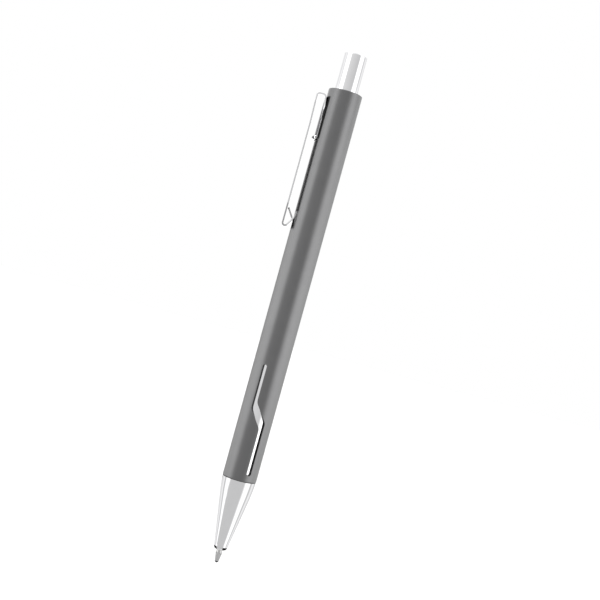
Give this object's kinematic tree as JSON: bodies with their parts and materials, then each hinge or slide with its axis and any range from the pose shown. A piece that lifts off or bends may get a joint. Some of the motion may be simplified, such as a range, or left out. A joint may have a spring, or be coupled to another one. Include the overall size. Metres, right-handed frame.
{
  "type": "retractable ballpoint pen",
  "caption": "Slim retractable ballpoint pen: round satin metal barrel with a zigzag slot over a bright liner, chrome cone nose, bent strip clip and plain round push button.",
  "frame": {"origin": "the lowest point of the writing ball, on the pen's axis, with the point out", "axes": "+Z along the pen's axis from the point to the push button, -X towards the clip, -Y towards the middle of the slot"},
  "size_m": [0.0123, 0.0094, 0.1446],
  "materials": {
    "barrel_coat": "satin gunmetal grey coat on aluminium, finely textured",
    "chrome": "polished chrome plate",
    "ball_carbide": "polished tungsten carbide",
    "nickel_silver": "turned nickel silver",
    "refill_metal": "drawn stainless tube, satin",
    "tail_plastic": "moulded, matt",
    "ink": "thick blue paste",
    "follower_grease": "clear yellowish grease",
    "spring_steel": "bright drawn wire",
    "rotor_plastic": "natural acetal",
    "plunger_plastic": "black acetal",
    "cam_plastic": "natural acetal",
    "brass": "drawn brass tube, bare",
    "bush_plastic": "black acetal, satin"
  },
  "bodies": {
    "barrel": {"barrel": "barrel_coat", "slot_liner": "chrome", "mechanism_sleeve": "brass", "cam_housing": "cam_plastic", "guide_bush": "bush_plastic", "clip_base": "chrome"},
    "nose": {"nose_cone": "chrome"},
    "button": {"push_button": "chrome", "plunger": "plunger_plastic"},
    "refill": {"refill_tube": "refill_metal", "refill_front": "refill_metal", "writing_tip": "nickel_silver", "ink": "ink", "ink_follower": "follower_grease", "refill_tail": "tail_plastic", "return_spring": "spring_steel"},
    "rotor": {"rotor": "rotor_plastic"},
    "ball": {"writing_ball": "ball_carbide"},
    "clip": {"clip_arm": "chrome"}
  },
  "joints": [
    {"name": "click", "type": "slide", "parent": "barrel", "child": "button", "axis": [0, 0, 1], "range_m": [-0.0015, 0.0055]},
    {"name": "refill_slide", "type": "slide", "parent": "barrel", "child": "refill", "axis": [0, 0, 1], "range_m": [-0.0015, 0.0055], "deforming": ["return_spring"]},
    {"name": "rotor_turn", "type": "hinge", "parent": "refill", "child": "rotor", "pos_m": [0, 0, 0.1], "axis": [0, 0, 1], "range_deg": [-46, 13]},
    {"name": "ball_roll", "type": "hinge", "parent": "refill", "child": "ball", "pos_m": [0, 0, 0.0004], "axis": [0, 1, 0], "continuous": true},
    {"name": "nose_off", "type": "slide", "parent": "barrel", "child": "nose", "axis": [0, 0, 1], "range_m": [-0.036, 0]},
    {"name": "clip_flex", "type": "hinge", "parent": "barrel", "child": "clip", "pos_m": [-0.0063, 0, 0.13162], "axis": [0, 1, 0], "range_deg": [0, 5], "stiffness_Nm_per_rad": 1.5, "springref_deg": -1.15}
  ],
  "couplings": [
    {"joint": "refill_slide", "follows": "click", "ratio": 1},
    {"joint": "rotor_turn", "follows": "click", "rad_per_m": -142.8}
  ]
}
